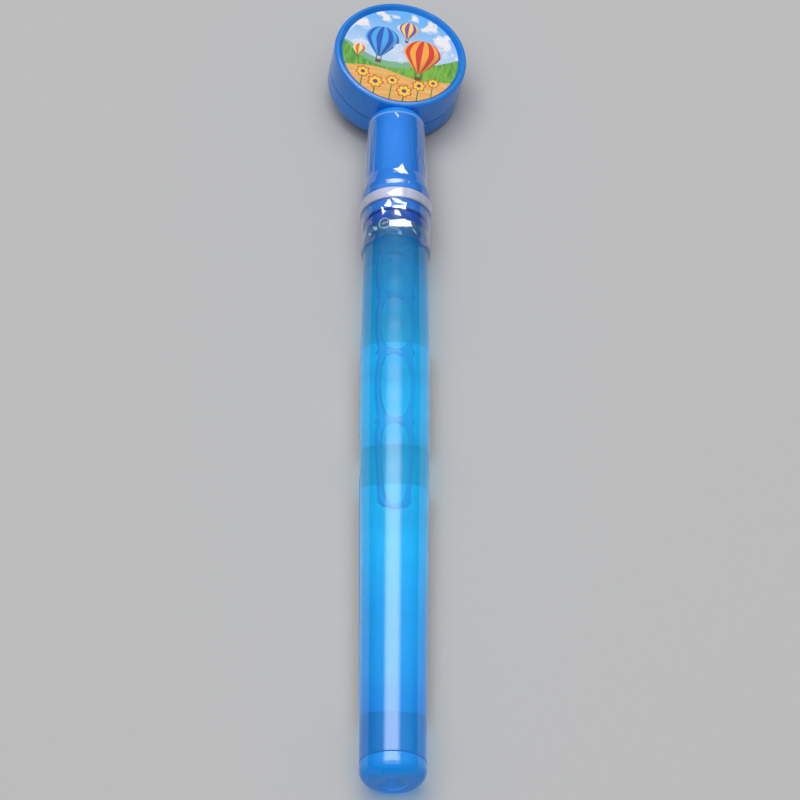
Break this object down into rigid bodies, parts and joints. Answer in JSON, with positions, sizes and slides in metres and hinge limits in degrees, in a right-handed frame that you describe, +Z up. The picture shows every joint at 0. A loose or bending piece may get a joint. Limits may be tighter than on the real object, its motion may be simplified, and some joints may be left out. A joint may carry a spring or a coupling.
{
  "type": "bubble wand",
  "caption": "Bubble wand: a translucent tube of solution closed by a round-headed handle that carries a chain of loops.",
  "frame": {"origin": "centre of the bounding box's lower face: the point on the ground below the middle of the lying wand", "axes": "+Y along the wand from the foot of the tube to the head, +Z up from the ground that it lies on, +X to the side that the face of the head leans to"},
  "size_m": [0.061, 0.3694, 0.0328],
  "materials": {
    "clear_blue": "translucent blown plastic, glossy",
    "label_paper": "plain white paper",
    "white_ring": "milky soft plastic",
    "blue_plastic": "moulded, glossy",
    "wand_plastic": "moulded, glossy",
    "printed_card": "printed card under gloss",
    "clear_film": "clear shrunk film, crinkled"
  },
  "bodies": {
    "tube": {"tube": "clear_blue", "lower_label": "label_paper", "upper_label": "label_paper"},
    "seal": {"seal_ring": "white_ring"},
    "collar": {"screw_collar": "blue_plastic"},
    "wand": {"handle": "blue_plastic", "stopper": "blue_plastic", "wand": "wand_plastic", "front_shell": "blue_plastic", "back_shell": "blue_plastic", "printed_disc": "printed_card", "shrink_film": "clear_film"}
  },
  "joints": [
    {"name": "collar_rise", "type": "slide", "parent": "tube", "child": "seal", "axis": [0, 0.9999, 0.0111], "range_m": [0, 0.00375]},
    {"name": "collar_turn", "type": "hinge", "parent": "seal", "child": "collar", "pos_m": [0, 0.07458, 0.01547], "axis": [0, 0.9999, 0.0111], "range_deg": [0, 452]},
    {"name": "wand_pull", "type": "slide", "parent": "seal", "child": "wand", "axis": [0, 0.9999, 0.0111], "range_m": [0, 0.17]}
  ],
  "couplings": [
    {"joint": "collar_turn", "follows": "collar_rise", "rad_per_m": 2094.4}
  ]
}
